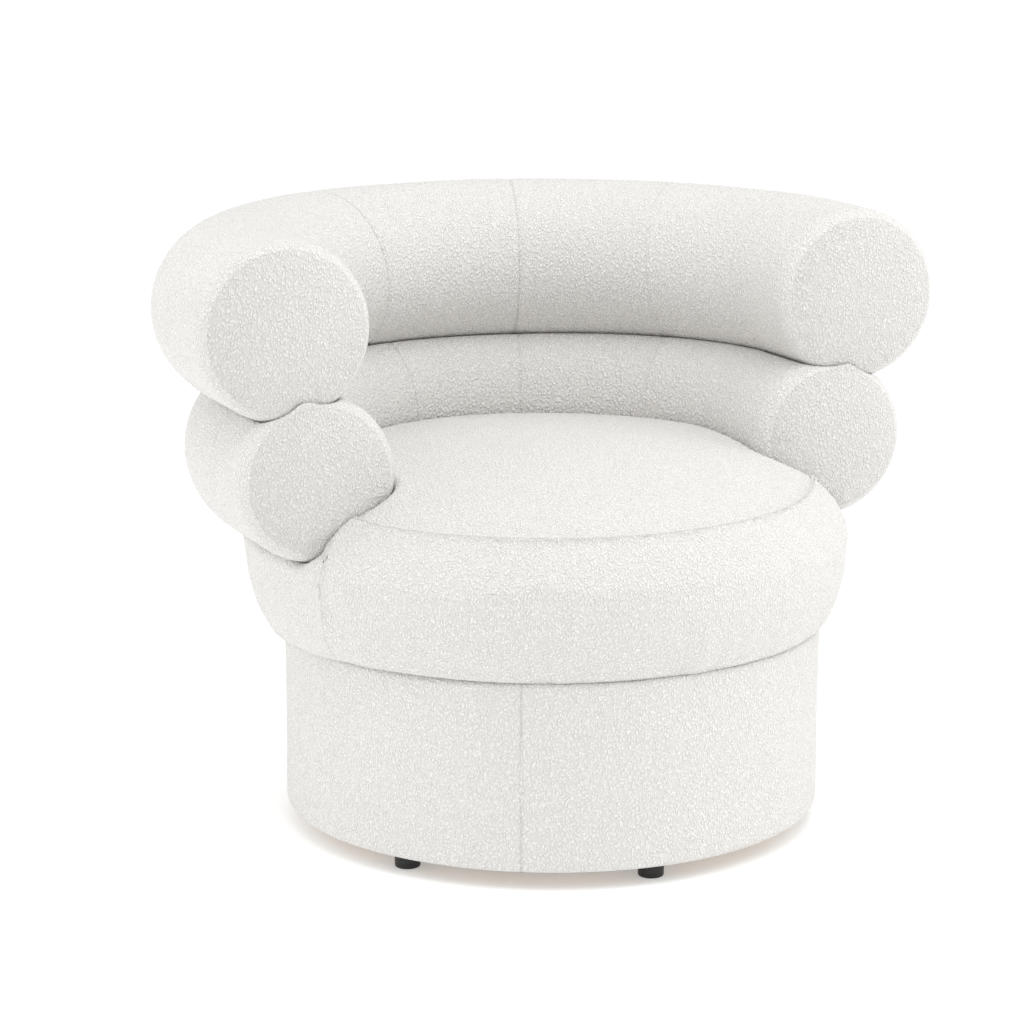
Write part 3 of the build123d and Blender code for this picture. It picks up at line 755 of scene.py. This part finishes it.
cushionLook = {
    "underRound": 33 * mm,
    "widestAbove": 75 * mm,
    "sidePull": 0.69,
    "topPull": 0.565,
    "hemWidth": 44 * mm,
    "rowStep": 5.5 * mm,
    "columnStep": 6.5 * mm,
    "bandSeam": -68,
    "seamShare": 0.4,
    "lump": 2.0 * mm,
    "fold": 0.9 * mm,
    "sag": 3.5 * mm,
    "sagAngle": -100,
    "clothMove": 5 * mm,
    "lip": 7.0 * mm,
    "lipReach": 26 * mm,
    "gap": 0.6 * mm,
    "creaseWidth": 1.2 * mm,
    "wall": 3.5 * mm,
}


def cushionProfile(look):
    low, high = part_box("seat_cover_band")
    seamHeight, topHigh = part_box("seat_cover_top")[0].z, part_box("seat_cover_top")[1].z
    radius = high.x
    widest = low.z + look["widestAbove"]
    t = np.linspace(0, 1, 400)[:, None]
    corners = np.array([(0, topHigh), (look["topPull"] * radius, topHigh),
                        (radius, widest + look["sidePull"] * (topHigh - widest)), (radius, widest)])
    crown = ((1 - t) ** 3 * corners[0] + 3 * (1 - t) ** 2 * t * corners[1]
             + 3 * (1 - t) * t ** 2 * corners[2] + t ** 3 * corners[3])
    turn = np.linspace(0, pi / 2, 120)[1:, None]
    under = np.hstack([radius - look["underRound"] + look["underRound"] * np.cos(turn),
                       widest - look["widestAbove"] * np.sin(turn)])
    hem = np.array([[radius - look["underRound"] - look["hemWidth"], low.z]])
    line = np.vstack([crown, under, hem])
    length = np.concatenate([[0], np.cumsum(np.linalg.norm(np.diff(line, axis=0), axis=1))])
    seamAt = np.interp(-seamHeight, -crown[:, 1], length[:len(crown)])
    return line, length, seamAt, (low.y + high.y) / 2


def gridLift(grid):
    down = np.gradient(grid, axis=0)
    beside = np.roll(grid, -1, axis=1) - np.roll(grid, 1, axis=1)
    lift = np.cross(down, beside)
    return lift / np.maximum(np.linalg.norm(lift, axis=2, keepdims=True), 1e-12)


def ringColumns(step, seamAt, radius):
    away = spacedAlong(-pi * radius, pi * radius, step, [0], besideSeam)[:-1] / radius
    return away, away + radians(seamAt)


def makeCushion(look):
    line, length, seamAt, middleY = cushionProfile(look)
    along = spacedAlong(look["rowStep"], length[-1], look["rowStep"], [seamAt], besideSeam)
    r = np.interp(along, length, line[:, 0])
    z = np.interp(along, length, line[:, 1])
    slopeR, slopeZ = np.gradient(r, along), np.gradient(z, along)
    size = np.hypot(slopeR, slopeZ)
    normalR, normalZ = -slopeZ / size, slopeR / size
    away, around = ringColumns(look["columnStep"], look["bandSeam"], line[:, 0].max())
    rows, columns = len(along), len(around)
    outX, outY = np.sin(around), -np.cos(around)
    fade = np.clip((length[-1] - look["hemWidth"] * 0.8 - along) / (14 * mm), 0, 1)[:, None]
    belowSeam = np.clip((along - seamAt) / (8 * mm), 0, 1)[:, None]
    bottom = line[:, 1].min()
    low = np.exp(-((z - bottom - 22 * mm) / (20 * mm)) ** 2)[:, None] * fade
    # soft upright folds where the band is drawn in under the seat
    random = np.random.default_rng(5)
    folds = sum(np.sin(around * pace + random.uniform(0, tau)) * (17 / pace) ** 0.6
                for pace in (17, 27, 38, 53, 67))
    folds = folds * (0.55 + 0.45 * np.sin(around * 3 + 1.0) * np.sin(around * 7 + 0.3))
    bandDistance = away[None, :] * r[:, None]
    out = -seamDip(along - seamAt, look["seamShare"])[:, None] + folds[None, :] * look["fold"] * low
    out = out - seamDip(bandDistance, look["seamShare"]) * belowSeam * fade
    reach = r[:, None] + normalR[:, None] * out
    height = z[:, None] + normalZ[:, None] * out
    sagging = np.clip(np.cos(around - radians(look["sagAngle"])), 0, 1)[None, :] ** 2
    height = height - look["sag"] * sagging * np.exp(-((z - bottom) / (45 * mm)) ** 2)[:, None] * fade
    grid = np.stack([outX * reach, middleY + outY * reach, height], axis=2)
    lump = lumps(grid.reshape(-1, 3), 7, 0.22).reshape(rows, columns, 1) * look["lump"] * fade[:, :, None]
    grid = grid + gridLift(grid) * lump
    tip = np.array([[0, middleY, line[0, 1]]])
    lid = np.array([[0, middleY, bottom]])
    closedFaces = gridQuads(rows, columns) + endFans(rows, columns)
    held = np.maximum(seamLine(along - seamAt)[:, None] * 0.75, seamLine(bandDistance) * belowSeam * 0.75)
    held = np.where(fade < 0.5, 1.0, held)
    held = np.append(held.reshape(-1), [0, 1])
    cap = np.full(len(held), look["clothMove"])
    stuffed = puff(np.vstack([grid.reshape(-1, 3), tip, lid]), closedFaces, held, cap)
    points, tip = stuffed[:-2], stuffed[-2:-1]

    def bolster(p):
        return bolsterDistance(p, places["lower"])

    # the foam squeezed aside by the bolster rises in a low lip beside it
    near = bolster(points) - look["gap"]
    rise = look["lip"] * np.clip(near / (6 * mm), 0, 1) * np.exp(-np.maximum(near, 0) / look["lipReach"])
    rise = rise.reshape(rows, columns, 1) * fade[:, :, None]
    grid = points.reshape(rows, columns, 3)
    grid = grid + gridLift(grid) * rise
    points = press(grid.reshape(-1, 3), rows, columns, bolster, look["gap"], look["creaseWidth"])
    grid = points.reshape(rows, columns, 3)
    seamRow = int(np.argmin(np.abs(along - seamAt)))
    lift = gridLift(grid)
    shade = np.maximum(seamLine(along - seamAt)[:, None], seamLine(bandDistance) * belowSeam) * 0.7
    makeShell("seat_top_panel", grid[:seamRow + 1], lift[:seamRow + 1], shade[:seamRow + 1], look["wall"],
              ["seat_cover_top"], tip)
    makeShell("seat_band", grid[seamRow:], lift[seamRow:], shade[seamRow:], look["wall"],
              ["seat_cover_band", "seat_foam"])


def makeShell(name, outer, lift, shade, wall, replaced, tip=None):
    rows, columns = outer.shape[:2]
    inner = outer - lift * wall
    keep = sorted(set(range(0, rows, 4)) | {rows - 1})
    inner = inner[keep][::-1]
    points = np.concatenate([outer, inner]).reshape(-1, 3)
    count = rows + len(inner)
    if tip is None:
        faces = gridQuads(count, columns, closed=True)
    else:
        faces = gridQuads(count, columns) + endFans(count, columns)
        points = np.vstack([points, tip, tip - np.array([[0, 0, wall]])])
    makePiece(name, points, faces, "seat", replaced, 0, shade.reshape(-1))


makeCushion(cushionLook)
print("cushion ready")

# drum

drumLook = {
    "edgeRound": 7 * mm,
    "thickness": 2.5 * mm,
    "hemIn": 21 * mm,
    "topIn": 15 * mm,
    "seamAngle": -30,
    "columnStep": 6.5 * mm,
    "rowStep": 7 * mm,
    "wave": 0.6 * mm,
    "slack": 1.0 * mm,
}


def makeDrum(look):
    low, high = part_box("base_cover")
    radius, edge = high.x, look["edgeRound"]
    turns = np.linspace(0, pi / 2, 9)
    walls = np.linspace(low.z + edge, high.z - edge, int((high.z - low.z) / look["rowStep"]))[1:-1]
    line = [(radius - look["hemIn"], low.z), (radius - edge - 6 * mm, low.z)]
    line += [(radius - edge + edge * sin(t), low.z + edge - edge * cos(t)) for t in turns]
    line += [(radius, z) for z in walls]
    line += [(radius - edge + edge * cos(t), high.z - edge + edge * sin(t)) for t in turns]
    line.append((radius - look["topIn"], high.z))
    line = np.array(line)
    inner = line[::-3].copy()
    centreZ = (low.z + high.z) / 2
    inner[:, 0] = np.minimum(inner[:, 0], radius - look["thickness"])
    inner[:, 1] = centreZ + (inner[:, 1] - centreZ) * (1 - look["thickness"] / (high.z - centreZ))
    profile = np.vstack([line, inner])
    away, around = ringColumns(look["columnStep"], look["seamAngle"], radius)
    rows, columns = len(profile), len(around)
    r, z = profile[:, :1], profile[:, 1:]
    wall = ((np.arange(rows)[:, None] < len(line)) & (r > radius - edge)).astype(float)
    ripple = np.sin(around * 9 + z * 20) * 0.6 + np.sin(around * 4 + 2 + z * 8)
    pull = np.exp(-((z - centreZ) / (70 * mm)) ** 2) * look["wave"]
    dip = seamDip(away * radius, 0.8) + look["slack"] - ripple * look["wave"] * 0.6 + pull
    reach = r - dip * wall
    grid = np.stack([swivel[0] + np.sin(around) * reach, swivel[1] - np.cos(around) * reach,
                     z + 0 * reach], axis=2)
    shade = (seamLine(away * radius) * wall).reshape(-1)
    makePiece("drum_cover", grid.reshape(-1, 3), gridQuads(rows, columns, closed=True), "base",
              ["base_cover"], 0, shade)


makeDrum(drumLook)
print("drum ready")

# staples that hold the dust cover and the drum's hem to the base ring

stapleLook = {
    "wire": 0.7 * mm,
    "crown": 10 * mm,
    "proud": 0.35 * mm,
    "dustInset": 5 * mm,
    "dustCount": 64,
    "hemInset": 15 * mm,
    "hemCount": 96,
    "tilt": 0.25,
}


def stapleTree(look):
    tree = bpy.data.node_groups.new("stapleRing", "GeometryNodeTree")
    tree.interface.new_socket("Geometry", in_out="OUTPUT", socket_type="NodeSocketGeometry")
    for label in ("Radius", "Height", "Wire Radius", "Crown"):
        tree.interface.new_socket(label, in_out="INPUT", socket_type="NodeSocketFloat")
    tree.interface.new_socket("Count", in_out="INPUT", socket_type="NodeSocketInt")
    nodes, links = tree.nodes, tree.links
    given = nodes.new("NodeGroupInput")
    result = nodes.new("NodeGroupOutput")
    ring = nodes.new("GeometryNodeMeshCircle")
    links.new(given.outputs["Count"], ring.inputs["Vertices"])
    links.new(given.outputs["Radius"], ring.inputs["Radius"])
    staple = nodes.new("GeometryNodeMeshCylinder")
    staple.inputs["Vertices"].default_value = 6
    links.new(given.outputs["Wire Radius"], staple.inputs["Radius"])
    links.new(given.outputs["Crown"], staple.inputs["Depth"])
    # each crown lies along the ring, a little askew
    where = nodes.new("GeometryNodeInputPosition")
    apart = nodes.new("ShaderNodeSeparateXYZ")
    links.new(where.outputs["Position"], apart.inputs["Vector"])
    bearing = mathOf(nodes, links, "ARCTAN2", apart.outputs["Y"], apart.outputs["X"])
    askew = nodes.new("FunctionNodeRandomValue")
    askew.inputs[2].default_value = -look["tilt"]
    askew.inputs[3].default_value = look["tilt"]
    askew.inputs["Seed"].default_value = 3
    spin = mathOf(nodes, links, "ADD", bearing, askew.outputs[1])
    turn = nodes.new("ShaderNodeCombineXYZ")
    turn.inputs["X"].default_value = pi / 2
    links.new(spin, turn.inputs["Z"])
    place = nodes.new("GeometryNodeInstanceOnPoints")
    links.new(ring.outputs["Mesh"], place.inputs["Points"])
    links.new(staple.outputs["Mesh"], place.inputs["Instance"])
    links.new(turn.outputs["Vector"], place.inputs["Rotation"])
    real = nodes.new("GeometryNodeRealizeInstances")
    links.new(place.outputs["Instances"], real.inputs["Geometry"])
    shift = nodes.new("ShaderNodeCombineXYZ")
    shift.inputs["X"].default_value = swivel[0]
    shift.inputs["Y"].default_value = swivel[1]
    links.new(given.outputs["Height"], shift.inputs["Z"])
    move = nodes.new("GeometryNodeSetPosition")
    links.new(real.outputs["Geometry"], move.inputs["Geometry"])
    links.new(shift.outputs["Vector"], move.inputs["Offset"])
    metal = nodes.new("GeometryNodeSetMaterial")
    metal.inputs["Material"].default_value = finishes["screw_steel"]
    links.new(move.outputs["Geometry"], metal.inputs["Geometry"])
    links.new(metal.outputs["Geometry"], result.inputs["Geometry"])
    return tree


def makeStaples(name, tree, radius, count, height):
    carrier = bpy.data.objects.new("stapleCarrier", bpy.data.meshes.new("stapleCarrier"))
    scene.collection.objects.link(carrier)
    ring = carrier.modifiers.new("staples", "NODES")
    ring.node_group = tree
    given = {item.name: item.identifier for item in tree.interface.items_tree if item.in_out == "INPUT"}
    ring[given["Radius"]] = radius
    ring[given["Count"]] = count
    ring[given["Height"]] = height
    ring[given["Wire Radius"]] = stapleLook["wire"] / 2
    ring[given["Crown"]] = stapleLook["crown"]
    whole = carrier.evaluated_get(bpy.context.evaluated_depsgraph_get())
    mesh = bpy.data.meshes.new_from_object(whole)
    mesh.name = name
    bpy.data.objects.remove(carrier)
    piece = bpy.data.objects.new(name, mesh)
    scene.collection.objects.link(piece)
    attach(piece, "base")


staples = stapleTree(stapleLook)
dustLow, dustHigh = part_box("dust_cover")
hemLow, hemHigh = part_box("base_cover")
makeStaples("dust_cover_staples", staples, dustHigh.x - stapleLook["dustInset"], stapleLook["dustCount"],
            dustLow.z - stapleLook["proud"])
makeStaples("drum_hem_staples", staples, hemHigh.x - stapleLook["hemInset"], stapleLook["hemCount"],
            hemLow.z - stapleLook["proud"])
print("staples ready")
